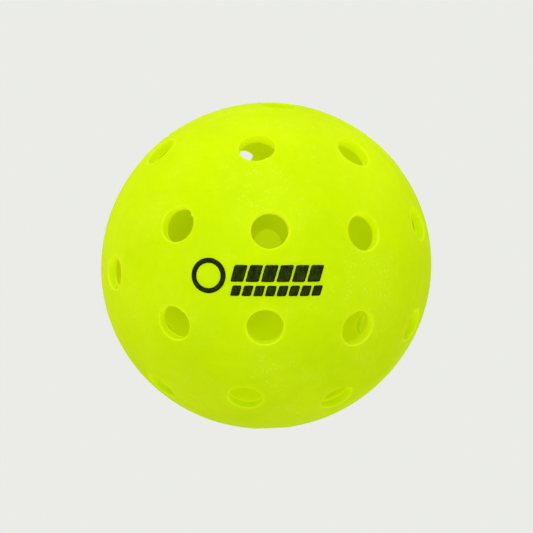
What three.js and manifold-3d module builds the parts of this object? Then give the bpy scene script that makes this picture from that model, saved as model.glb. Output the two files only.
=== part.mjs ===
// Pickleball ball, outdoor type: a hollow sphere of two identical half shells joined at the equator,
// with 40 round holes and a plain printed mark. Millimetres and degrees.
// Frame: origin at the ball's centre, +Z along the four-fold axis of the hole pattern,
// towards the marked half. The seam lies in the plane z = 0.
// The mark runs along +X, and its upper side faces +Y.
import * as THREE from "three";
import { mergeVertices } from "three/addons/utils/BufferGeometryUtils.js";
import Module from "manifold-3d";

// ---- Ball ----
const BALL_DIAMETER = 74.0;
const WALL = 1.85;
const OUTER_RADIUS = BALL_DIAMETER / 2;
const INNER_RADIUS = OUTER_RADIUS - WALL;

// The second half is the same moulding, turned over about this horizontal axis,
// so its holes sit between the first half's.
const TURN_AXIS_AZIMUTH = 33.75;

// Facets of the shells and the bead
const SEGMENTS = 48; // round the axis
const BANDS = 10; // pole to equator

// ---- Holes of one half ----
// Three rings round the pole. Polar angles are from +Z, azimuths from +X.
const RING_1 = { polar: 20.9, count: 4, start: 45.0 };
// Ring 2 has a pair for each ring 1 hole, spread this far in azimuth to either side of it.
const RING_2 = { polar: 47.0, spread: 23.7 };
const RING_3 = { polar: 74.3, count: 8, start: 1.5 };

// Three holes sit a little off their even places.
// Hole's index in the order of holeDirections: [added polar angle, added azimuth].
const OFF_PLACE = { 1: [1.5, 2.7], 2: [0.0, -0.9], 15: [3.2, -0.5] };

// Each hole is cut by a cylinder centred a little below the outside surface.
const DRILL = { diameter: 7.1, length: 8, depth: 1, sides: 20 };

// ---- Seam and bead ----
// Each half stops short of z = 0 by half the gap, with a small outside chamfer on its rim.
const SEAM_GAP = 0.02;
const SEAM_CHAMFER = 0.15;

// Bead of fused plastic on the inside of the seam.
const BEAD_HEIGHT = 0.6; // how far it stands into the ball
const BEAD_WIDTH = 1.6; // along the axis
const BEAD_CLEARANCE = 0.1; // from the shell's inside
// Its rounded inner side has a corner either side of the crest: shares of height and half width.
const BEAD_CORNER = { height: 0.75, halfWidth: 0.6 };

// ---- Printed mark ----
// A plain ring and two rows of plain slanted dashes, laid on the sphere.
// Offsets are arc lengths from the mark's centre: along +X, up +Y, before the mark is turned.
const INK_CLEARANCE = 0.03;
const INK_THICKNESS = 0.05;
const MARK_POLAR = 18.2; // the mark's centre, from the pole towards -X
const MARK_TURN = 1.9; // how far the rows rise from +X
const RING_MARK = { along: -9.4, up: 0.6, outerDiameter: 6.9, stroke: 1.0, segments: 36 };
const DASH_ROWS = {
  upper: { dashes: 6, along: 3.8, up: 1.1, length: 16.9, height: 3.2 },
  lower: { dashes: 8, along: 3.7, up: -2.2, length: 17.1, height: 2.0 },
};
const DASH_GAP = 0.42;
const DASH_SLANT = 15.0; // how far the dashes lean from upright, towards +X
const DASH_STEPS = 3; // facets along each side, so a dash follows the sphere

// ---- Geometry helpers ----
const WELD_TOLERANCE = 1e-4;
const radians = THREE.MathUtils.degToRad;
const manifold = await Module();
manifold.setup();

// Solid from a closed geometry: welds its vertices and drops the triangles that collapse.
function solidOf(geometry) {
  const bare = geometry.clone();
  bare.deleteAttribute("normal");
  bare.deleteAttribute("uv");
  const merged = mergeVertices(bare, WELD_TOLERANCE);
  const index = merged.index.array;
  const kept = [];
  for (let i = 0; i < index.length; i += 3) {
    const [a, b, c] = [index[i], index[i + 1], index[i + 2]];
    if (a !== b && b !== c && c !== a) kept.push(a, b, c);
  }
  return new manifold.Manifold(
    new manifold.Mesh({
      numProp: 3,
      vertProperties: new Float32Array(merged.attributes.position.array),
      triVerts: new Uint32Array(kept),
    }),
  );
}

function geometryOf(solid) {
  const { numVert, numProp, vertProperties, triVerts } = solid.getMesh();
  const positions = new Float32Array(numVert * 3);
  for (let i = 0; i < numVert; i++) {
    const first = i * numProp;
    positions.set(vertProperties.subarray(first, first + 3), i * 3);
  }
  const geometry = new THREE.BufferGeometry();
  geometry.setAttribute("position", new THREE.BufferAttribute(positions, 3));
  geometry.setIndex(new THREE.BufferAttribute(new Uint32Array(triVerts), 1));
  geometry.computeVertexNormals();
  return geometry;
}

// A profile of [radius, z] points turned about Z.
function lathe(profile, segments) {
  const points = profile.map(([radius, z]) => new THREE.Vector2(radius, z));
  return new THREE.LatheGeometry(points, segments).rotateX(Math.PI / 2);
}

// Unit vector at a polar angle from +Z and an azimuth from +X.
function direction(polar, azimuth) {
  return new THREE.Vector3(
    Math.sin(radians(polar)) * Math.cos(radians(azimuth)),
    Math.sin(radians(polar)) * Math.sin(radians(azimuth)),
    Math.cos(radians(polar)),
  );
}

// ---- Half shell ----
function holeDirections() {
  const evenPlaces = [];
  for (let k = 0; k < RING_1.count; k++) {
    const azimuth = RING_1.start + (360 / RING_1.count) * k;
    evenPlaces.push(
      [RING_1.polar, azimuth],
      [RING_2.polar, azimuth - RING_2.spread],
      [RING_2.polar, azimuth + RING_2.spread],
    );
  }
  for (let k = 0; k < RING_3.count; k++) {
    evenPlaces.push([RING_3.polar, RING_3.start + (360 / RING_3.count) * k]);
  }
  return evenPlaces.map(([polar, azimuth], i) => {
    const [addedPolar, addedAzimuth] = OFF_PLACE[i] ?? [0, 0];
    return direction(polar + addedPolar, azimuth + addedAzimuth);
  });
}

// From the inner pole down the inside, across the seam face and chamfer,
// and up the outside to the outer pole.
function shellProfile() {
  const seamZ = SEAM_GAP / 2;
  const arcPoint = (radius, angle) => [radius * Math.sin(angle), radius * Math.cos(angle)];
  const pointAtHeight = (radius, z) => arcPoint(radius, Math.acos(z / radius));
  const bandAngle = (i) => (i / BANDS) * (Math.PI / 2);

  const profile = [[0, INNER_RADIUS]];
  for (let i = 1; i < BANDS; i++) profile.push(arcPoint(INNER_RADIUS, bandAngle(i)));
  profile.push(
    pointAtHeight(INNER_RADIUS, seamZ),
    [OUTER_RADIUS - SEAM_CHAMFER, seamZ],
    pointAtHeight(OUTER_RADIUS, seamZ + SEAM_CHAMFER),
  );
  for (let i = BANDS - 1; i > 0; i--) profile.push(arcPoint(OUTER_RADIUS, bandAngle(i)));
  profile.push([0, OUTER_RADIUS]);
  return profile;
}

// Cylinder that cuts one hole, pointing outwards along the given direction.
function drill(outward) {
  const radius = DRILL.diameter / 2;
  const geometry = new THREE.CylinderGeometry(radius, radius, DRILL.length, DRILL.sides);
  const cylinderAxis = new THREE.Vector3(0, 1, 0);
  geometry.applyQuaternion(new THREE.Quaternion().setFromUnitVectors(cylinderAxis, outward));
  const centre = outward.clone().multiplyScalar(OUTER_RADIUS - DRILL.depth);
  return geometry.translate(centre.x, centre.y, centre.z);
}

function halfShell() {
  let shell = solidOf(lathe(shellProfile(), SEGMENTS));
  for (const outward of holeDirections()) shell = shell.subtract(solidOf(drill(outward)));
  return geometryOf(shell);
}

// ---- Weld bead ----
function weldBead() {
  const outer = INNER_RADIUS - BEAD_CLEARANCE;
  const halfWidth = BEAD_WIDTH / 2;
  const edgeRadius = Math.sqrt(outer * outer - halfWidth * halfWidth);
  const cornerRadius = outer - BEAD_CORNER.height * BEAD_HEIGHT;
  const cornerZ = BEAD_CORNER.halfWidth * halfWidth;
  const profile = [
    [edgeRadius, -halfWidth],
    [outer, 0],
    [edgeRadius, halfWidth],
    [cornerRadius, cornerZ],
    [outer - BEAD_HEIGHT, 0],
    [cornerRadius, -cornerZ],
    [edgeRadius, -halfWidth],
  ];
  return lathe(profile, SEGMENTS);
}

// ---- Printed mark ----
// Turns a flat piece by MARK_TURN and lays it on the sphere:
// x and y are arc lengths along +X and up +Y, z is height over the ink's underside.
function layOnSphere(geometry) {
  const centre = direction(MARK_POLAR, 180);
  const along = new THREE.Vector3(0, 1, 0).cross(centre).normalize();
  const upward = new THREE.Vector3().crossVectors(centre, along);
  const positions = geometry.attributes.position;
  const point = new THREE.Vector3();
  for (let i = 0; i < positions.count; i++) {
    const x = positions.getX(i);
    const y = positions.getY(i);
    const arc = Math.hypot(x, y) / OUTER_RADIUS;
    const heading = Math.atan2(y, x) + radians(MARK_TURN);
    point
      .copy(centre)
      .multiplyScalar(Math.cos(arc))
      .addScaledVector(along, Math.sin(arc) * Math.cos(heading))
      .addScaledVector(upward, Math.sin(arc) * Math.sin(heading))
      .multiplyScalar(OUTER_RADIUS + INK_CLEARANCE + positions.getZ(i));
    positions.setXYZ(i, point.x, point.y, point.z);
  }
  return geometryOf(solidOf(geometry));
}

function inkRing({ along, up, outerDiameter, stroke, segments }) {
  const outer = outerDiameter / 2;
  const inner = outer - stroke;
  const profile = [
    [inner, 0],
    [outer, 0],
    [outer, INK_THICKNESS],
    [inner, INK_THICKNESS],
    [inner, 0],
  ];
  return layOnSphere(lathe(profile, segments).translate(along, up, 0));
}

// One dash of a row, counted from the end nearest the ring.
function inkDash({ dashes, along, up, length, height }, k) {
  const width = (length - DASH_GAP * (dashes - 1)) / dashes;
  const middle = along - length / 2 + width / 2 + k * (width + DASH_GAP);
  const lean = Math.tan(radians(DASH_SLANT));
  const geometry = new THREE.BoxGeometry(
    width, height, INK_THICKNESS,
    DASH_STEPS, DASH_STEPS, 1,
  );
  geometry.translate(0, 0, INK_THICKNESS / 2);
  const positions = geometry.attributes.position;
  for (let i = 0; i < positions.count; i++) {
    const y = positions.getY(i);
    positions.setX(i, positions.getX(i) + y * lean + middle);
    positions.setY(i, y + up);
  }
  return layOnSphere(geometry);
}

// ---- Materials ----
function matt(color, roughness) {
  return new THREE.MeshStandardMaterial({ color, roughness, metalness: 0.0 });
}
const shellPlastic = matt(0xceef0a, 0.45); // yellow-green
const beadPlastic = matt(0xb4d805, 0.55); // darker yellow-green
const ink = matt(0x20280a, 0.6); // near black

// ---- Assembly ----
const ball = new THREE.Group();
function add(name, geometry, material) {
  const mesh = new THREE.Mesh(geometry, material);
  mesh.name = name;
  ball.add(mesh);
  return mesh;
}

const half = halfShell();
add("upper_shell", half, shellPlastic);
const lowerShell = add("lower_shell", half.clone(), shellPlastic);
lowerShell.quaternion.setFromAxisAngle(direction(90, TURN_AXIS_AZIMUTH), Math.PI);
add("weld_bead", weldBead(), beadPlastic);
add("ink_ring", inkRing(RING_MARK), ink);
for (const [rowName, row] of Object.entries(DASH_ROWS)) {
  for (let k = 0; k < row.dashes; k++) {
    add(`ink_${rowName}_dash_${k + 1}`, inkDash(row, k), ink);
  }
}

export default ball;
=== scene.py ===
import math

import bmesh
import bpy
import numpy as np
from mathutils import Matrix, Vector, noise
from mathutils.geometry import delaunay_2d_cdt


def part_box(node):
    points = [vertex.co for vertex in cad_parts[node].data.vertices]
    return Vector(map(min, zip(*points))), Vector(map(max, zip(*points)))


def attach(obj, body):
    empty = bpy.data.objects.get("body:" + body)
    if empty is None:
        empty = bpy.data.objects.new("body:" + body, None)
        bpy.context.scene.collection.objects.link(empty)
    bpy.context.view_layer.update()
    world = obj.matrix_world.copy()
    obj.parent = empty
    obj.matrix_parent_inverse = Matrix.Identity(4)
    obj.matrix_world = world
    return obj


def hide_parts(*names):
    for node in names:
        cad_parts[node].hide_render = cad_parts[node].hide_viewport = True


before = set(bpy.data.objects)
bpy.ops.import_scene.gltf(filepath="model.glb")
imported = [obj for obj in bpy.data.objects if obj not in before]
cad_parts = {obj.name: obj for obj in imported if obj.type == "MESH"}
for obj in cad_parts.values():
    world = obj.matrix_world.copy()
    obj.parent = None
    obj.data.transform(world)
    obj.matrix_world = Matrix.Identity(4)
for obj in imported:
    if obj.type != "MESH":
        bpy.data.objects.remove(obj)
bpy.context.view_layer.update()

# ---------------------------------------------------------------- dimensions, in millimetres
MM = 0.001
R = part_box("upper_shell")[1].z / MM  # outer radius of the ball
HOLE_R = 3.55
WALL = 1.85
RI = R - WALL

RING_1_POLAR, RING_2_POLAR, RING_3_POLAR = 20.9, 47.0, 74.3
RING_1_START, RING_2_SPREAD, RING_3_START = 45.0, 23.7, 1.5
TURN_AXIS_AZIMUTH = 33.75
# three holes of each half sit a little off their ring's even places: degrees of polar angle and of azimuth
OFF_PLACE = {1: (1.5, 2.7), 2: (0.0, -0.9), 15: (3.2, -0.5)}

MARK_POLAR = 18.2
MARK_TURN = 1.9
RING_MARK = dict(along=-9.4, up=0.6, outer=6.9, stroke=1.0)
UPPER_ROW = dict(dashes=6, along=3.8, up=1.1, length=16.9, height=3.2, gap=0.42)
LOWER_ROW = dict(dashes=8, along=3.7, up=-2.2, length=17.1, height=2.0, gap=0.42)
DASH_SLANT = 15.0

RIM_SIDES = 72  # points round each hole
SEAM_SIDES = 288  # points round the seam


def direction(polar, azimuth):
    p, a = math.radians(polar), math.radians(azimuth)
    return np.array([math.sin(p) * math.cos(a), math.sin(p) * math.sin(a), math.cos(p)])


HOLES = []


def place_hole(polar, azimuth):
    down, round_ = OFF_PLACE.get(len(HOLES), (0.0, 0.0))
    HOLES.append(direction(polar + down, azimuth + round_))


for k in range(4):
    az = RING_1_START + 90 * k
    place_hole(RING_1_POLAR, az)
    place_hole(RING_2_POLAR, az - RING_2_SPREAD)
    place_hole(RING_2_POLAR, az + RING_2_SPREAD)
for k in range(8):
    place_hole(RING_3_POLAR, RING_3_START + 45 * k)


def basis(n):
    """Two unit vectors square to n."""
    h = np.array([0.0, 0.0, 1.0]) if abs(n[2]) < 0.9 else np.array([0.0, 1.0, 0.0])
    u = np.cross(h, n)
    u /= np.linalg.norm(u)
    return u, np.cross(n, u)


def waves(rng, orders, size):
    """A smooth periodic wobble: {order: (amplitude, phase)}."""
    return [(m, size / (1 + 0.6 * i) * rng.uniform(0.5, 1.0), rng.uniform(0, 2 * math.pi)) for i, m in enumerate(orders)]


def wobble(ws, a):
    return sum(amp * np.sin(m * a + ph) for m, amp, ph in ws)


def swell(d, seed, size, scale):
    """Low moulding unevenness of a surface along unit directions d, in millimetres."""
    out = np.empty(len(d))
    for i, v in enumerate(d):
        out[i] = noise.noise(Vector(v * scale) + Vector((seed, 7.1, 3.3)))
    return out * size


# ---------------------------------------------------------------- half shell
# Rings of the sheet round a hole: distance out from the bore, height over the sphere, half step or not.
OUTER_RINGS = [(0.30, 0.045, False), (0.55, 0.022, True), (0.90, 0.004, False), (1.45, 0.0, True)]
INNER_RINGS = [(0.16, 0.05, False), (0.40, 0.02, True), (0.80, 0.0, False), (1.60, 0.0, True)]


def sheet(radius, rings, rim_shape, seam_z, spacing, seed, size, scale):
    """One wall of a half shell as points and triangles: spherical Delaunay, done in the plane by stereographic projection."""
    pts, sizes, rim_index = [], [], []
    edges = []
    blocked = []
    for h, n in enumerate(HOLES):
        u, v = basis(n)
        for ring, (out, lift, half) in enumerate(rings):
            sides = RIM_SIDES if ring < 2 else (48 if ring == 2 else 30)
            a = (np.arange(sides) + (0.5 if half else 0.0)) * 2 * math.pi / sides
            rho = HOLE_R + out + (rim_shape[h](a) if ring == 0 else 0.0)
            th = np.arcsin(rho / radius) * np.ones(sides)
            d = np.cos(th)[:, None] * n + np.sin(th)[:, None] * (np.cos(a)[:, None] * u + np.sin(a)[:, None] * v)
            start = sum(len(p) for p in pts)
            pts.append(d)
            sizes.append(np.full(sides, lift))
            if ring == 0:
                idx = list(range(start, start + sides))
                rim_index.append(idx)
                edges += [(idx[i], idx[(i + 1) % sides]) for i in range(sides)]
        blocked.append((n, math.cos(math.asin((HOLE_R + rings[-1][0]) / radius) + 0.55 * spacing / radius)))
    a = np.arange(SEAM_SIDES) * 2 * math.pi / SEAM_SIDES
    z = seam_z(a) / radius
    s = np.sqrt(1 - z * z)
    start = sum(len(p) for p in pts)
    pts.append(np.c_[s * np.cos(a), s * np.sin(a), z])
    sizes.append(np.zeros(SEAM_SIDES))
    seam_index = list(range(start, start + SEAM_SIDES))
    edges += [(seam_index[i], seam_index[(i + 1) % SEAM_SIDES]) for i in range(SEAM_SIDES)]
    # one ring above the seam grades from the fine seam to the even field
    a2 = (np.arange(SEAM_SIDES // 2) + 0.5) * 4 * math.pi / SEAM_SIDES
    z2 = (float(np.mean(z)) * radius + 0.45) / radius
    s2 = math.sqrt(1 - z2 * z2)
    pts.append(np.c_[s2 * np.cos(a2), s2 * np.sin(a2), np.full(len(a2), z2)])
    sizes.append(np.zeros(len(a2)))
    # even field: a golden-angle spiral
    count = int(4 * math.pi * radius**2 / (0.866 * spacing**2) / 2)
    i = np.arange(count) + 0.5
    zf = 1 - i / count
    sf = np.sqrt(1 - zf * zf)
    ph = i * math.pi * (3 - math.sqrt(5))
    f = np.c_[sf * np.cos(ph), sf * np.sin(ph), zf]
    keep = f[:, 2] > z2 + 0.62 * spacing / radius
    for n, c in blocked:
        keep &= f @ n < c
    f = f[keep]
    pts.append(f)
    sizes.append(np.zeros(len(f)))
    d = np.concatenate(pts)
    lift = np.concatenate(sizes)
    flat = d[:, :2] / (1 + d[:, 2:3])
    verts, _, faces, orig, _, _ = delaunay_2d_cdt([Vector(p) for p in flat], edges, [], 0, 1e-8, True)
    back = [o[0] for o in orig]
    hole_of = np.full(len(d), -1)
    for h, idx in enumerate(rim_index):
        hole_of[idx] = h
    seam = np.zeros(len(d), bool)
    seam[seam_index] = True
    tris = []
    for t in faces:
        q = [back[i] for i in t]
        hs = hole_of[q]
        if hs[0] >= 0 and hs[0] == hs[1] == hs[2]:
            continue
        if seam[q].all():
            continue
        tris.append(q)
    r = radius + lift + swell(d, seed, size, scale)
    return d * r[:, None], tris, rim_index, seam_index


def burrs_of(rng, extra):
    """Small tags of plastic that the drill leaves inside a rim: angle, width, reach."""
    out = list(extra)
    for _ in range(int(rng.integers(0, 3))):
        out.append((rng.uniform(0, 2 * math.pi), rng.uniform(0.05, 0.10), rng.uniform(0.06, 0.22)))
    return out


def half_shell(name, seed, extra_burrs, inner_burrs):
    rng = np.random.default_rng(seed)
    outs = [waves(rng, (1, 2, 3, 7), 0.030) for _ in HOLES]
    ins = [waves(rng, (2, 3, 5, 11), 0.050) for _ in HOLES]
    lips = [waves(rng, (1, 2, 5), 0.45) for _ in HOLES]
    burrs = [burrs_of(rng, extra_burrs.get(h, [])) for h in range(len(HOLES))]
    seam_w = waves(rng, (3, 7, 16, 31, 57), 0.022)

    def rim(ws):
        return lambda a: wobble(ws, a)

    ov, ot, orim, oseam = sheet(
        R, OUTER_RINGS, [rim(w) for w in outs], lambda a: 0.15 + wobble(seam_w, a), 1.25, seed * 1.7, 0.035, 3.1
    )
    iv, it, irim, iseam = sheet(
        RI, INNER_RINGS, [rim(w) for w in ins], lambda a: np.full(len(a), 0.012), 1.9, seed * 2.3 + 50, 0.07, 5.0
    )
    verts = [tuple(p) for p in ov]
    off = len(verts)
    verts += [tuple(p) for p in iv]
    faces = [tuple(t) for t in ot] + [tuple(off + i for i in t) for t in it]

    def ring(points):
        start = len(verts)
        verts.extend(tuple(p) for p in points)
        return list(range(start, start + len(points)))

    def strip(a, b):
        n = len(a)
        for i in range(n):
            j = (i + 1) % n
            faces.append((a[i], a[j], b[j], b[i]))

    # bores: over the raised lip, round the cut edge, down the drilled wall and out past the inner edge
    a = np.arange(RIM_SIDES) * 2 * math.pi / RIM_SIDES
    for h, n in enumerate(HOLES):
        u, v = basis(n)
        radial = np.cos(a)[:, None] * u + np.sin(a)[:, None] * v
        w_out, w_in = wobble(outs[h], a), wobble(ins[h], a)
        lip = np.clip(0.75 + wobble(lips[h], a), 0.1, 1.5)
        tag, inner_tag = (
            sum((reach * np.exp(-((np.angle(np.exp(1j * (a - at))) / width) ** 2)) for at, width, reach in tags), np.zeros(len(a)))
            for tags in (burrs[h], inner_burrs.get(h, []))
        )
        prev = orim[h]
        z0 = math.sqrt(R * R - HOLE_R * HOLE_R)
        z1 = math.sqrt(RI * RI - HOLE_R * HOLE_R)
        # distance out from the bore, height over the sphere's edge, how much of the tag shows
        profile = [
            (0.20, 0.050 * lip, 0.0),
            (0.11, 0.042 * lip - 0.004, 0.10),
            (0.045, 0.012 * lip - 0.02, 0.45),
            (0.010, -0.055, 0.90),
            (0.000, -0.12, 1.0),
            (0.000, -0.22, 0.85),
            (0.004, -0.38, 0.35),
            (0.006, -0.62, 0.05),
            (0.008, -0.95, 0.0),
            (0.008, -(z0 - z1) + 0.45, 0.0),
            (0.000, -(z0 - z1) + 0.16, 0.0),
            (-0.030, -(z0 - z1) - 0.02, 0.0),
            (-0.010, -(z0 - z1) - 0.09, 0.0),
            (0.070, -(z0 - z1) - 0.07, 0.0),
        ]
        for k, (out, high, show) in enumerate(profile):
            t = k / (len(profile) - 1)
            mix = min(1.0, max(0.0, (t - 0.45) / 0.5))
            rho = HOLE_R + out + w_out * (1 - mix) + w_in * mix - tag * show - inner_tag * (0, 0.4, 1.0, 0.8, 0.3)[max(0, k - 9)]
            height = z0 + high - (R - np.sqrt(R * R - np.maximum(rho, HOLE_R) ** 2) - (R - z0))
            p = radial * rho[:, None] + n * (height * np.ones(len(a)))[:, None]
            cur = ring(p)
            strip(prev, cur)
            prev = cur
        strip(prev, [off + i for i in irim[h]])
    # seam: a small rounded edge, then the flat weld face
    b = np.arange(SEAM_SIDES) * 2 * math.pi / SEAM_SIDES
    ws = wobble(seam_w, b)
    prev = oseam
    for r, z in ((R - 0.012, 0.085), (R - 0.05, 0.04), (R - 0.12, 0.016), (R - 0.6, 0.010), (RI + 0.4, 0.010)):
        zz = z + max(0.0, z - 0.02) * ws / 0.1
        cur = ring(np.c_[r * np.cos(b), r * np.sin(b), zz * np.ones(len(b))])
        strip(prev, cur)
        prev = cur
    strip(prev, [off + i for i in iseam])

    me = bpy.data.meshes.new(name)
    me.from_pydata([Vector(p) * MM for p in verts], [], faces)
    bm = bmesh.new()
    bm.from_mesh(me)
    bmesh.ops.recalc_face_normals(bm, faces=bm.faces)
    open_edges = sum(1 for e in bm.edges if len(e.link_faces) != 2)
    if bm.calc_volume(signed=True) < 0:
        bmesh.ops.reverse_faces(bm, faces=bm.faces)
    bm.to_mesh(me)
    bm.free()
    print(name, "vertices", len(me.vertices), "faces", len(me.polygons), "open edges", open_edges)
    me.polygons.foreach_set("use_smooth", [True] * len(me.polygons))
    # how near each point is to a cut edge: the mask of the painted highlight along the rims
    co = np.array([v.co for v in me.vertices]) / MM
    away = np.full(len(co), 9.0)
    for n in HOLES:
        ahead = co @ n
        off_axis = np.sqrt(np.maximum(0.0, (co * co).sum(1) - ahead * ahead))
        away = np.where(ahead > 0, np.minimum(away, np.abs(off_axis - HOLE_R)), away)
    r = np.linalg.norm(co, axis=1)
    edge = 0.6 * np.clip(1 - away / 0.34, 0, 1) * (r > R - 0.2)
    edge = np.maximum(edge, np.clip(1 - away / 0.12, 0, 1) * np.clip(1 - (r - RI) / 0.5, 0, 1) * (r > RI - 0.02))
    at = me.attributes.new("painted_rim_highlight", "FLOAT", "POINT")
    at.data.foreach_set("value", edge.astype(np.float32))
    ob = bpy.data.objects.new(name, me)
    bpy.context.scene.collection.objects.link(ob)
    return ob


# ---------------------------------------------------------------- node helpers
class Tree:
    def __init__(self, mat):
        mat.use_nodes = True
        self.nt = mat.node_tree
        self.nt.nodes.clear()

    def add(self, kind, **inputs):
        n = self.nt.nodes.new(kind)
        for k, v in inputs.items():
            if k.startswith("_"):
                setattr(n, k[1:], v)
        return n

    def link(self, a, b):
        self.nt.links.new(a, b)

    def coords(self, offset=(0, 0, 0), scale=1.0):
        t = self.add("ShaderNodeTexCoord")
        m = self.add("ShaderNodeMapping")
        m.inputs["Location"].default_value = offset
        m.inputs["Scale"].default_value = (scale, scale, scale)
        self.link(t.outputs["Object"], m.inputs["Vector"])
        return m.outputs["Vector"]

    def noise(self, vec, scale, detail=3.0, rough=0.5):
        n = self.add("ShaderNodeTexNoise")
        n.inputs["Scale"].default_value = scale
        n.inputs["Detail"].default_value = detail
        n.inputs["Roughness"].default_value = rough
        self.link(vec, n.inputs["Vector"])
        return n.outputs["Fac"]

    def voronoi(self, vec, scale, feature="F1"):
        n = self.add("ShaderNodeTexVoronoi")
        n.feature = feature
        n.inputs["Scale"].default_value = scale
        self.link(vec, n.inputs["Vector"])
        return n.outputs["Distance"]

    def fit(self, x, lo, hi, to_lo, to_hi):
        n = self.add("ShaderNodeMapRange")
        n.inputs["From Min"].default_value = lo
        n.inputs["From Max"].default_value = hi
        n.inputs["To Min"].default_value = to_lo
        n.inputs["To Max"].default_value = to_hi
        self.link(x, n.inputs["Value"])
        return n.outputs["Result"]

    def math(self, op, a, b=0.0):
        n = self.add("ShaderNodeMath")
        n.operation = op
        for i, x in enumerate((a, b)):
            if isinstance(x, (int, float)):
                n.inputs[i].default_value = x
            else:
                self.link(x, n.inputs[i])
        return n.outputs[0]

    def mix(self, fac, a, b, blend="MIX", clamp=True):
        n = self.add("ShaderNodeMix")
        n.data_type = "RGBA"
        n.blend_type = blend
        n.clamp_factor = clamp
        if isinstance(fac, (int, float)):
            n.inputs[0].default_value = fac
        else:
            self.link(fac, n.inputs[0])
        for slot, x in ((6, a), (7, b)):
            if isinstance(x, tuple):
                n.inputs[slot].default_value = x
            else:
                self.link(x, n.inputs[slot])
        return n.outputs[2]

    def principled(self):
        n = self.add("ShaderNodeBsdfPrincipled")
        o = self.add("ShaderNodeOutputMaterial")
        self.link(n.outputs[0], o.inputs["Surface"])
        return n


def lin(r, g, b):
    """sRGB 0-255 to a linear colour."""
    c = [x / 255 for x in (r, g, b)]
    return tuple(x / 12.92 if x <= 0.04045 else ((x + 0.055) / 1.055) ** 2.4 for x in c) + (1.0,)


# ---------------------------------------------------------------- materials
LIME_HI = (0.602, 0.82, 0.003, 1.0)
LIME_LO = (0.532, 0.75, 0.002, 1.0)
LIME_INSIDE_PAINTED_LIGHT = (0.70, 0.83, 0.003, 1.0)
LIME_SHADOW = (0.34, 0.46, 0.002, 1.0)


# painted light and shade, given as emission colours: outside, on the bore walls, at the cut edges and inside the ball
OUTER_PAINTED_LIGHT = (0.045, 0.055, 0.0, 1.0)
WALL_PAINTED_LIGHT = (0.221, 0.229, 0.0, 1.0)
RIM_PAINTED_HIGHLIGHT = (0.16, 0.19, 0.0, 1.0)
INNER_PAINTED_LIGHT_LOW = (0.053, 0.028, 0.0, 1.0)
INNER_PAINTED_LIGHT_HIGH = (0.130, 0.126, 0.0, 1.0)
INNER_PAINTED_LIGHT_DOWN = (0.170, 0.206, 0.0, 1.0)
INNER_PAINTED_LIGHT_UP = (0.168, 0.193, 0.0, 1.0)
INNER_PAINTED_SHADE_FAR = (0.030, 0.040, 0.0, 1.0)


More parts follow.
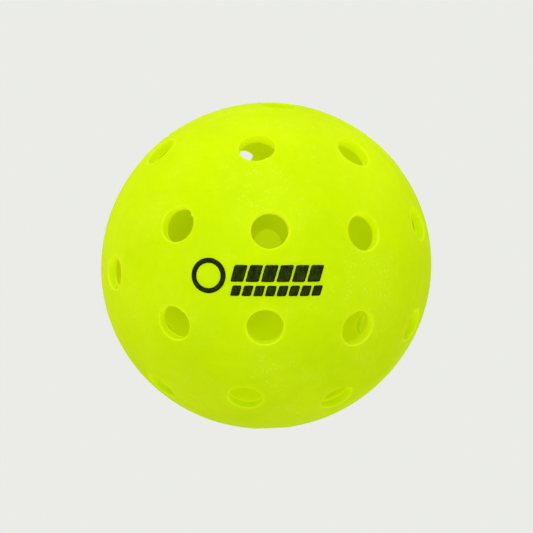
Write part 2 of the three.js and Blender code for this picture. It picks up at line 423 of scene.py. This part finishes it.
def lime_plastic(name, seed):
    mat = bpy.data.materials.new(name)
    t = Tree(mat)
    p = t.principled()
    base = t.coords((seed, seed * 0.3, 0))
    tex = t.add("ShaderNodeTexCoord")
    length = t.add("ShaderNodeVectorMath")
    length.operation = "LENGTH"
    t.link(tex.outputs["Object"], length.inputs[0])
    r = length.outputs["Value"]
    inside = t.fit(r, (RI + 0.15) * MM, (RI + 0.40) * MM, 1.0, 0.0)
    wall = t.math("MULTIPLY", t.fit(r, (RI + 0.10) * MM, (RI + 0.45) * MM, 0.0, 1.0), t.fit(r, (R - 0.22) * MM, (R - 0.06) * MM, 1.0, 0.0))
    sep = t.add("ShaderNodeSeparateXYZ")
    t.link(tex.outputs["Object"], sep.inputs[0])
    # painted light on the walls of the holes: less on the holes underneath, and more on the ones that face away from
    # the key, standing in for light coming down through the wall
    above = t.fit(sep.outputs["Z"], -0.45 * R * MM, 0.15 * R * MM, 0.25, 1.0)
    geo = t.add("ShaderNodeNewGeometry")
    facing = t.add("ShaderNodeSeparateXYZ")
    t.link(geo.outputs["Normal"], facing.inputs[0])
    wall_painted_light = t.math("MULTIPLY", above, t.fit(facing.outputs["Y"], -1.0, 1.0, 1.35, 0.20))
    # cloudy depth of colour, where the wall is a little thicker or thinner
    cloud = t.noise(base, 55, 2.0, 0.45)
    fine = t.noise(base, 420, 3.0, 0.6)
    shade = t.math("ADD", t.fit(cloud, 0.3, 0.7, 0.0, 0.75), t.fit(fine, 0.3, 0.7, -0.12, 0.25))
    colour = t.mix(shade, LIME_LO, LIME_HI)
    # pale rubbed flecks, gathered in patches, and a few fine scuffs
    dot = t.fit(t.voronoi(base, 1250), 0.08, 0.38, 1.0, 0.0)
    fleck = t.math("MULTIPLY", dot, t.fit(t.noise(base, 420, 2.0, 0.5), 0.47, 0.60, 0.0, 1.0))
    worn = t.fit(t.noise(base, 70, 2.0, 0.5), 0.40, 0.62, 0.0, 1.0)
    rub = t.math("MULTIPLY", fleck, worn)
    colour = t.mix(t.math("MULTIPLY", rub, 0.55), colour, (0.72, 0.85, 0.12, 1.0))
    colour = t.mix(t.math("MULTIPLY", worn, 0.10), colour, (0.66, 0.82, 0.05, 1.0))
    streak_vec = t.add("ShaderNodeMapping")
    streak_vec.inputs["Scale"].default_value = (1.0, 0.12, 0.35)
    streak_vec.inputs["Rotation"].default_value = (0.3, 0.8, 0.5 + seed)
    t.link(base, streak_vec.inputs["Vector"])
    streak = t.fit(t.noise(streak_vec.outputs[0], 900, 4.0, 0.65), 0.66, 0.78, 0.0, 1.0)
    patch = t.fit(t.noise(base, 95, 1.0, 0.4), 0.52, 0.66, 0.0, 1.0)
    scuff = t.math("MULTIPLY", streak, patch)
    colour = t.mix(t.math("MULTIPLY", scuff, 0.14), colour, (0.72, 0.86, 0.06, 1.0))
    speck = t.fit(t.voronoi(base, 260), 0.05, 0.085, 1.0, 0.0)
    colour = t.mix(t.math("MULTIPLY", speck, 0.25), colour, (0.42, 0.62, 0.002, 1.0))
    # the inside is unworn and painted lighter, standing in for light that comes through the wall, with a painted shadow
    # just behind the holes on the far side of +X
    behind = t.math("MULTIPLY", t.fit(sep.outputs["X"], 0.84 * R * MM, 0.91 * R * MM, 0.0, 1.0), t.fit(sep.outputs["Z"], 0.0, 0.15 * R * MM, 0.0, 1.0))
    colour = t.mix(inside, colour, t.mix(behind, LIME_INSIDE_PAINTED_LIGHT, LIME_SHADOW))
    # painted highlight: a paler ring at each drilled edge, stronger on the holes higher up
    cut = t.add("ShaderNodeAttribute")
    cut.attribute_type = "GEOMETRY"
    cut.attribute_name = "painted_rim_highlight"
    painted_rim_highlight = t.math("MULTIPLY", cut.outputs["Fac"], t.fit(t.noise(base, 620, 3.0, 0.6), 0.25, 0.65, 0.35, 1.0))
    painted_rim_highlight = t.math("MULTIPLY", painted_rim_highlight, above)
    colour = t.mix(t.math("MULTIPLY", painted_rim_highlight, 0.55), colour, (0.76, 0.93, 0.05, 1.0))
    t.link(colour, p.inputs["Base Color"])
    # satin finish, duller where it is rubbed
    rough = t.fit(t.noise(base, 180, 3.0, 0.55), 0.3, 0.7, 0.42, 0.54)
    rough = t.math("ADD", rough, t.math("MULTIPLY", t.math("ADD", scuff, rub), 0.14))
    t.link(rough, p.inputs["Roughness"])
    # orange-peel and mould texture
    peel = t.noise(base, 700, 2.0, 0.5)
    grain = t.noise(base, 2600, 3.0, 0.6)
    height = t.math("ADD", t.math("MULTIPLY", peel, 0.6), t.math("MULTIPLY", grain, 0.35))
    height = t.math("ADD", height, t.math("MULTIPLY", streak, 0.25))
    b = t.add("ShaderNodeBump")
    b.inputs["Strength"].default_value = 0.22
    b.inputs["Distance"].default_value = 0.00012
    t.link(height, b.inputs["Height"])
    t.link(b.outputs[0], p.inputs["Normal"])
    # translucent polyethylene
    p.inputs["Subsurface Weight"].default_value = 0.55
    p.inputs["Subsurface Radius"].default_value = (1.0, 1.0, 0.15)
    p.inputs["Subsurface Scale"].default_value = 0.0018
    p.inputs["IOR"].default_value = 1.5
    p.inputs["Specular IOR Level"].default_value = 0.006
    p.inputs["Specular Tint"].default_value = (0.95, 1.0, 0.25, 1.0)
    # painted light, given as emission: a little on the outside, more at the cut edges and inside the ball
    # painted light inside the ball: more at the sides than at the poles, more towards -Y and near +Y; painted shade on
    # the far side of +X, and none just behind the holes there
    side = t.fit(t.math("ABSOLUTE", sep.outputs["Z"]), 0.93 * RI * MM, 0.78 * RI * MM, 0.0, 1.0)
    inner_painted_light = t.mix(side, INNER_PAINTED_LIGHT_LOW, INNER_PAINTED_LIGHT_HIGH)
    inner_painted_light = t.mix(t.fit(sep.outputs["Y"], -0.30 * R * MM, -0.92 * R * MM, 0.0, 1.0), inner_painted_light, INNER_PAINTED_LIGHT_DOWN)
    lid = t.math("MULTIPLY", t.fit(sep.outputs["Y"], 0.45 * R * MM, 0.75 * R * MM, 0.0, 1.0), t.fit(t.math("ABSOLUTE", sep.outputs["Z"]), 0.45 * R * MM, 0.15 * R * MM, 0.0, 1.0))
    inner_painted_light = t.mix(lid, inner_painted_light, INNER_PAINTED_LIGHT_UP)
    far = t.math("MULTIPLY", t.fit(sep.outputs["X"], 0.68 * R * MM, 0.92 * R * MM, 0.0, 0.5), t.fit(sep.outputs["Y"], -0.25 * R * MM, 0.15 * R * MM, 0.0, 1.0))
    inner_painted_light = t.mix(far, inner_painted_light, INNER_PAINTED_SHADE_FAR)
    inner_painted_light = t.mix(behind, inner_painted_light, (0.0, 0.0, 0.0, 1.0))
    # painted light on the outside: least where the wall turns away from the key light, and at the very top, where it is
    # seen edge on
    turned = t.math("SUBTRACT", t.math("MULTIPLY", sep.outputs["X"], 0.6), t.math("MULTIPLY", sep.outputs["Y"], 0.8))
    outer = t.math("MULTIPLY", t.fit(turned, -0.30 * R * MM, 0.55 * R * MM, 1.25, 0.15), t.fit(sep.outputs["Y"], 0.72 * R * MM, 0.95 * R * MM, 1.0, 0.3))
    outside = t.mix(outer, (0.0, 0.0, 0.0, 1.0), OUTER_PAINTED_LIGHT, clamp=False)
    painted_light = t.mix(wall, outside, t.mix(wall_painted_light, (0.0, 0.0, 0.0, 1.0), WALL_PAINTED_LIGHT, clamp=False))
    painted_light = t.mix(inside, painted_light, inner_painted_light)
    # painted highlight at the cut edges, given as emission
    painted_light = t.mix(t.math("MULTIPLY", painted_rim_highlight, 0.6), painted_light, RIM_PAINTED_HIGHLIGHT)
    t.link(painted_light, p.inputs["Emission Color"])
    p.inputs["Emission Strength"].default_value = 1.0
    return mat


def bead_plastic():
    mat = bpy.data.materials.new("bead_plastic")
    t = Tree(mat)
    p = t.principled()
    base = t.coords()
    colour = t.mix(t.fit(t.noise(base, 240, 4.0, 0.6), 0.3, 0.7, 0.0, 1.0), (0.38, 0.58, 0.002, 1.0), (0.55, 0.78, 0.004, 1.0))
    t.link(colour, p.inputs["Base Color"])
    t.link(t.fit(t.noise(base, 900, 2.0), 0.3, 0.7, 0.35, 0.6), p.inputs["Roughness"])
    b = t.add("ShaderNodeBump")
    b.inputs["Strength"].default_value = 0.5
    b.inputs["Distance"].default_value = 0.0002
    t.link(t.noise(base, 800, 4.0, 0.6), b.inputs["Height"])
    t.link(b.outputs[0], p.inputs["Normal"])
    p.inputs["Subsurface Weight"].default_value = 0.4
    p.inputs["Subsurface Radius"].default_value = (1.0, 1.0, 0.15)
    p.inputs["Subsurface Scale"].default_value = 0.0012
    p.inputs["Specular IOR Level"].default_value = 0.10
    p.inputs["Specular Tint"].default_value = (0.95, 1.0, 0.25, 1.0)
    # painted light: the bead glows a little, given as emission
    p.inputs["Emission Color"].default_value = (0.12, 0.095, 0.0, 1.0)
    p.inputs["Emission Strength"].default_value = 1.0
    return mat


def ink_print():
    mat = bpy.data.materials.new("ink_print")
    t = Tree(mat)
    p = t.principled()
    base = t.coords()
    # thin in the middle of each shape, where a brushed lime cast shows through
    brush = t.add("ShaderNodeMapping")
    brush.inputs["Scale"].default_value = (1.0, 0.25, 1.0)
    t.link(base, brush.inputs["Vector"])
    thin = t.fit(t.noise(brush.outputs[0], 2300, 3.0, 0.65), 0.38, 0.66, 0.0, 1.0)
    body = t.mix(thin, (0.0055, 0.012, 0.0006, 1.0), (0.036, 0.058, 0.001, 1.0))
    cloud = t.fit(t.noise(base, 420, 2.0, 0.5), 0.35, 0.65, 0.0, 0.5)
    body = t.mix(cloud, body, (0.010, 0.020, 0.0008, 1.0))
    # heaped up and darkest along the outline
    at = t.add("ShaderNodeAttribute")
    at.attribute_type = "GEOMETRY"
    at.attribute_name = "ink_outline"
    body = t.mix(t.math("MULTIPLY", at.outputs["Fac"], 0.9), body, (0.003, 0.0075, 0.0008, 1.0))
    # pinholes where the ink missed
    pin = t.fit(t.voronoi(base, 1700), 0.10, 0.20, 1.0, 0.0)
    few = t.fit(t.noise(base, 640, 2.0, 0.5), 0.60, 0.70, 0.0, 1.0)
    colour = t.mix(t.math("MULTIPLY", t.math("MULTIPLY", pin, few), 0.6), body, (0.30, 0.46, 0.003, 1.0))
    t.link(colour, p.inputs["Base Color"])
    t.link(t.fit(t.noise(base, 1500, 2.0), 0.3, 0.7, 0.42, 0.62), p.inputs["Roughness"])
    b = t.add("ShaderNodeBump")
    b.inputs["Strength"].default_value = 0.3
    b.inputs["Distance"].default_value = 0.00005
    t.link(t.noise(base, 2400, 3.0, 0.6), b.inputs["Height"])
    t.link(b.outputs[0], p.inputs["Normal"])
    p.inputs["Specular IOR Level"].default_value = 0.06
    return mat


# ---------------------------------------------------------------- the two halves
# Tags of plastic on the rims, by hole number: (angle, width, reach).
upper = half_shell("upper_shell_wall", 11, {5: [(2.46, 0.07, 0.38)]}, {4: [(3.82, 0.06, 0.40), (3.55, 0.05, 0.18)]})
lower = half_shell("lower_shell_wall", 23, {}, {2: [(1.1, 0.06, 0.3)]})
turn = Matrix.Rotation(math.pi, 4, Vector(direction(90, TURN_AXIS_AZIMUTH)))
lower.data.transform(turn)
upper.data.materials.append(lime_plastic("lime_plastic_upper", 0.0))
lower.data.materials.append(lime_plastic("lime_plastic_lower", 0.37))
for piece, node in ((upper, "upper_shell"), (lower, "lower_shell")):
    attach(piece, "root")
    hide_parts(node)


# ---------------------------------------------------------------- weld bead
def weld_bead():
    sides, around = 540, 14
    verts, faces = [], []
    for i in range(sides):
        a = i / sides * 2 * math.pi
        c = Vector((math.cos(a), math.sin(a), 0))
        lump = noise.noise(c * 9 + Vector((4, 1, 2))) * 0.12 + noise.noise(c * 40 + Vector((1, 8, 5))) * 0.08
        sway = noise.noise(c * 6 + Vector((9, 3, 3))) * 0.12
        for j in range(around):
            b = j / around * 2 * math.pi
            out = math.cos(b)
            z = math.sin(b) * (0.74 + 0.1 * noise.noise(c * 22 + Vector((j * 0.3, 2, 9)))) + sway * (1 - max(0, out))
            inward = (1 - out) / 2  # 0 at the wall, 1 at the crest
            r = math.sqrt((RI - 0.10) ** 2 - z * z) - inward ** 0.8 * (0.56 + lump)
            verts.append((r * math.cos(a) * MM, r * math.sin(a) * MM, z * MM))
    for i in range(sides):
        for j in range(around):
            i2, j2 = (i + 1) % sides, (j + 1) % around
            faces.append((i * around + j, i2 * around + j, i2 * around + j2, i * around + j2))
    me = bpy.data.meshes.new("weld_bead_flash")
    me.from_pydata(verts, [], faces)
    bm = bmesh.new()
    bm.from_mesh(me)
    bmesh.ops.recalc_face_normals(bm, faces=bm.faces)
    bm.to_mesh(me)
    bm.free()
    me.polygons.foreach_set("use_smooth", [True] * len(me.polygons))
    ob = bpy.data.objects.new("weld_bead_flash", me)
    bpy.context.scene.collection.objects.link(ob)
    return ob


bead = weld_bead()
bead.data.materials.append(bead_plastic())
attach(bead, "root")
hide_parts("weld_bead")


# ---------------------------------------------------------------- printed mark
MARK_C = direction(MARK_POLAR, 180)
MARK_X = np.cross(np.array([0.0, 1.0, 0.0]), MARK_C)
MARK_X /= np.linalg.norm(MARK_X)
MARK_Y = np.cross(MARK_C, MARK_X)
TURN_COS, TURN_SIN = math.cos(math.radians(MARK_TURN)), math.sin(math.radians(MARK_TURN))
SWELL = (11 * 1.7, 0.035, 3.1)  # the upper half's own unevenness, so that the ink follows it


def on_ball(x, y, high):
    x, y = x * TURN_COS - y * TURN_SIN, x * TURN_SIN + y * TURN_COS
    arc = math.hypot(x, y) / R
    d = MARK_C * math.cos(arc)
    if arc > 0:
        d = d + (MARK_X * x + MARK_Y * y) * (math.sin(arc) / (arc * R))
    d = d / np.linalg.norm(d)
    r = R + swell([d], SWELL[0], SWELL[1], SWELL[2])[0] + high
    return d * r * MM


def film(name, outline_rows):
    """A printed film from rows of points: each row is the same number of (x, y), closed or not along it."""
    rows, closed = outline_rows
    n, m = len(rows), len(rows[0])
    verts, faces, outline = [], [], []
    # bottom just over the plastic, top a few hundredths higher, edges thinner
    for level in (0, 1):
        for i, row in enumerate(rows):
            for j, (x, y) in enumerate(row):
                edge = min(i, n - 1 - i) if closed else min(i, n - 1 - i, j, m - 1 - j)
                top = (0.014, 0.030, 0.036)[min(edge, 2)]
                verts.append(on_ball(x, y, 0.006 if level == 0 else 0.006 + top))
                outline.append((1.0, 1.0, 0.95, 0.35 if closed else 0.8, 0.0 if closed else 0.4, 0.0)[min(edge, 5)])
    def at(level, i, j):
        return level * n * m + i * m + (j % m)
    span = m if closed else m - 1
    for i in range(n - 1):
        for j in range(span):
            faces.append((at(1, i, j), at(1, i, j + 1), at(1, i + 1, j + 1), at(1, i + 1, j)))
            faces.append((at(0, i, j), at(0, i + 1, j), at(0, i + 1, j + 1), at(0, i, j + 1)))
    for i in (0, n - 1):
        for j in range(span):
            faces.append((at(0, i, j), at(0, i, j + 1), at(1, i, j + 1), at(1, i, j)))
    if not closed:
        for j in (0, m - 1):
            for i in range(n - 1):
                faces.append((at(0, i, j), at(0, i + 1, j), at(1, i + 1, j), at(1, i, j)))
    me = bpy.data.meshes.new(name)
    me.from_pydata(verts, [], faces)
    bm = bmesh.new()
    bm.from_mesh(me)
    bmesh.ops.recalc_face_normals(bm, faces=bm.faces)
    bm.to_mesh(me)
    bm.free()
    me.polygons.foreach_set("use_smooth", [True] * len(me.polygons))
    me.attributes.new("ink_outline", "FLOAT", "POINT").data.foreach_set("value", outline)
    ob = bpy.data.objects.new(name, me)
    bpy.context.scene.collection.objects.link(ob)
    return ob


def dash_rows(row, k):
    """Rows across a dash's height; corners rounded and edges a little uneven, as pad printing leaves them."""
    width = (row["length"] - row["gap"] * (row["dashes"] - 1)) / row["dashes"]
    along = row["along"] - row["length"] / 2 + width / 2 + k * (width + row["gap"])
    height, up = row["height"], row["up"]
    lean = math.tan(math.radians(DASH_SLANT))
    corner = 0.28
    near = np.array([0.0, 0.025, 0.07, 0.13, 0.20, 0.28])
    ys = np.concatenate([-height / 2 + near, np.linspace(-height / 2 + 0.28, height / 2 - 0.28, 7)[1:-1], height / 2 - near[::-1]])
    xs = np.concatenate([near / width - 0.5, np.linspace(-0.5 + 0.28 / width, 0.5 - 0.28 / width, 9)[1:-1], 0.5 - near[::-1] / width])
    seed = up * 3.1 + k * 1.7
    rows = []
    for y in ys:
        past = max(0.0, abs(y) - (height / 2 - corner))
        cut = corner - math.sqrt(max(0.0, corner**2 - past**2))
        line = []
        for x in xs:
            xx = x * (width - 2 * cut) + y * lean + along
            yy = y + up
            rim = max(0.0, 1 - (height / 2 - abs(y)) / 0.1)
            side = max(0.0, 1 - (0.5 - abs(x)) * width / 0.1)
            yy += rim * noise.noise(Vector((xx * 2.4, y * 5, seed))) * 0.05
            xx += side * noise.noise(Vector((yy * 2.6, x * 5, seed + 4))) * 0.05
            line.append((xx, yy))
        rows.append(line)
    return rows, False


def ring_rows(along, up, outer, stroke, seed):
    r = outer / 2
    rows = []
    for f in (0, 0.04, 0.10, 0.3, 0.5, 0.7, 0.90, 0.96, 1.0):
        row = []
        for j in range(120):
            a = j / 120 * 2 * math.pi
            rr = r - stroke + f * stroke
            if f in (0, 1.0):
                rr += noise.noise(Vector((math.cos(a) * 5, math.sin(a) * 5, seed + f))) * 0.035
            row.append((along + rr * math.cos(a), up + rr * math.sin(a)))
        rows.append(row)
    return rows, True


ink = ink_print()
prints = [("ink_ring", ring_rows(seed=1.0, **RING_MARK))]
for label, row in (("upper", UPPER_ROW), ("lower", LOWER_ROW)):
    prints += [(f"ink_{label}_dash_{k + 1}", dash_rows(row, k)) for k in range(row["dashes"])]
for node, rows in prints:
    ob = film(node + "_print", rows)
    ob.data.materials.append(ink)
    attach(ob, "root")
    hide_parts(node)


# ---------------------------------------------------------------- floor, light, camera
PALE = lin(235, 236, 231)


def floor():
    bm = bmesh.new()
    bmesh.ops.create_grid(bm, x_segments=8, y_segments=8, size=6.0)
    me = bpy.data.meshes.new("floor")
    bm.to_mesh(me)
    bm.free()
    ob = bpy.data.objects.new("floor", me)
    ob.location = (0, 0, -R * MM)
    bpy.context.scene.collection.objects.link(ob)
    mat = bpy.data.materials.new("floor_pale")
    t = Tree(mat)
    vec = t.coords()
    length = t.add("ShaderNodeVectorMath")
    length.operation = "LENGTH"
    t.link(vec, length.inputs[0])
    r = length.outputs["Value"]
    # painted tinted shadow on the floor, standing in for light that has come through the ball: under it and on the side
    # away from the key light
    away = t.add("ShaderNodeMapping")
    away.inputs["Location"].default_value = (-0.40 * R * MM, 0.30 * R * MM, 0)
    t.link(vec, away.inputs["Vector"])
    dist = t.add("ShaderNodeVectorMath")
    dist.operation = "LENGTH"
    t.link(away.outputs[0], dist.inputs[0])
    painted_tint_core = t.fit(dist.outputs["Value"], 0.78 * R * MM, 0.96 * R * MM, 1.0, 0.0)
    # it is strong only from above, where the ball itself hides the rest of the floor
    geo = t.add("ShaderNodeNewGeometry")
    inc = t.add("ShaderNodeSeparateXYZ")
    t.link(geo.outputs["Incoming"], inc.inputs[0])
    above = t.fit(inc.outputs["Z"], 0.62, 0.88, 0.0, 1.0)
    # painted shadow for the low views: a soft tint off to the side away from the key, and a darker painted contact
    # shadow under the ball
    soft = t.fit(dist.outputs["Value"], 0.10 * R * MM, 1.15 * R * MM, 1.0, 0.0)
    painted_contact_shadow = t.fit(r, 0.02 * R * MM, 0.50 * R * MM, 1.0, 0.0)
    seen = t.mix(t.math("MULTIPLY", t.math("POWER", soft, 1.6), 0.55), PALE, lin(214, 222, 130))
    seen = t.mix(t.math("MULTIPLY", t.math("POWER", painted_contact_shadow, 1.5), 0.55), seen, lin(150, 168, 60))
    above_seen = t.mix(painted_tint_core, PALE, lin(182, 211, 9))
    seen = t.mix(above, seen, above_seen)
    em = t.add("ShaderNodeEmission")
    t.link(seen, em.inputs["Color"])
    em2 = t.add("ShaderNodeEmission")
    em2.inputs["Color"].default_value = (1.0, 1.0, 0.62, 1.0)
    em2.inputs["Strength"].default_value = 0.76
    path = t.add("ShaderNodeLightPath")
    mix = t.add("ShaderNodeMixShader")
    t.link(path.outputs["Is Camera Ray"], mix.inputs[0])
    t.link(em2.outputs[0], mix.inputs[1])
    t.link(em.outputs[0], mix.inputs[2])
    # clear from below, so that the underside can be looked at
    clear = t.add("ShaderNodeBsdfTransparent")
    below = t.add("ShaderNodeMixShader")
    t.link(t.math("MULTIPLY", geo.outputs["Backfacing"], path.outputs["Is Camera Ray"]), below.inputs[0])
    t.link(mix.outputs[0], below.inputs[1])
    t.link(clear.outputs[0], below.inputs[2])
    out = t.add("ShaderNodeOutputMaterial")
    t.link(below.outputs[0], out.inputs["Surface"])
    me.materials.append(mat)
    return ob


floor()

world = bpy.data.worlds.new("studio")
bpy.context.scene.world = world
world.use_nodes = True
nt = world.node_tree
nt.nodes.clear()
path = nt.nodes.new("ShaderNodeLightPath")
seen = nt.nodes.new("ShaderNodeBackground")
seen.inputs["Color"].default_value = PALE
lit = nt.nodes.new("ShaderNodeBackground")
lit.inputs["Color"].default_value = (1.0, 1.0, 0.62, 1.0)
# a soft dome, a little brighter overhead than at the horizon
coord = nt.nodes.new("ShaderNodeTexCoord")
sep = nt.nodes.new("ShaderNodeSeparateXYZ")
dome = nt.nodes.new("ShaderNodeMapRange")
dome.inputs["From Min"].default_value = 0.0
dome.inputs["From Max"].default_value = 1.0
dome.inputs["To Min"].default_value = 0.74
dome.inputs["To Max"].default_value = 0.95
nt.links.new(coord.outputs["Generated"], sep.inputs[0])
nt.links.new(sep.outputs["Z"], dome.inputs["Value"])
nt.links.new(dome.outputs["Result"], lit.inputs["Strength"])
mix = nt.nodes.new("ShaderNodeMixShader")
out = nt.nodes.new("ShaderNodeOutputWorld")
nt.links.new(path.outputs["Is Camera Ray"], mix.inputs[0])
nt.links.new(lit.outputs[0], mix.inputs[1])
nt.links.new(seen.outputs[0], mix.inputs[2])
nt.links.new(mix.outputs[0], out.inputs["Surface"])


def area(name, place, size, power):
    data = bpy.data.lights.new(name, "AREA")
    data.shape = "DISK"
    data.size = size
    data.energy = power
    ob = bpy.data.objects.new(name, data)
    ob.location = place
    ob.rotation_mode = "QUATERNION"
    ob.rotation_quaternion = (-Vector(place)).to_track_quat("-Z", "Y")
    bpy.context.scene.collection.objects.link(ob)
    return ob


area("key", (-0.266, 0.579, 0.391), 0.60, 1.75)

# The camera stands 5.37 ball radii from the centre. The photograph's frame is off the lens's axis,
# so the lens is shifted, at this place only: seen from anywhere else the lens is centred.
CAM_AT = Vector((-1.584044, 0.325514, 5.119326)) * (R * MM)
CAM_RIGHT = Vector((0.990355, 0.025782, 0.136135))
CAM_UP = Vector((-0.007832, 0.991381, -0.130777))
cam_data = bpy.data.cameras.new("camera")
cam_data.sensor_width = 36.0
cam_data.lens = 57.133
cam_data.clip_start = 0.005
cam_data.clip_end = 50.0
cam = bpy.data.objects.new("camera", cam_data)
bpy.context.scene.collection.objects.link(cam)
bpy.context.scene.camera = cam
back = CAM_RIGHT.cross(CAM_UP).normalized()
cam.location = CAM_AT
cam.rotation_mode = "QUATERNION"
cam.rotation_quaternion = Matrix((CAM_RIGHT, back.cross(CAM_RIGHT), back)).transposed().to_quaternion()
place = bpy.data.objects.new("camera_place", None)
place.location = CAM_AT
bpy.context.scene.collection.objects.link(place)
for prop, value in (("shift_x", 0.26930), ("shift_y", 0.10246)):
    fc = cam_data.driver_add(prop)
    for m in list(fc.modifiers):
        fc.modifiers.remove(m)
    fc.driver.type = "SUM"
    var = fc.driver.variables.new()
    var.name = "distance"
    var.type = "LOC_DIFF"
    for target, ob in zip(var.targets, (cam, place)):
        target.id = ob
        target.transform_space = "WORLD_SPACE"
    # from the camera's distance to its own place, in metres, to the shift
    fc.keyframe_points.add(2)
    for point, at in zip(fc.keyframe_points, ((0.002, value), (0.014, 0.0))):
        point.co = at
        point.interpolation = "LINEAR"
    fc.extrapolation = "CONSTANT"
    fc.update()

bpy.context.scene.view_settings.view_transform = "Standard"
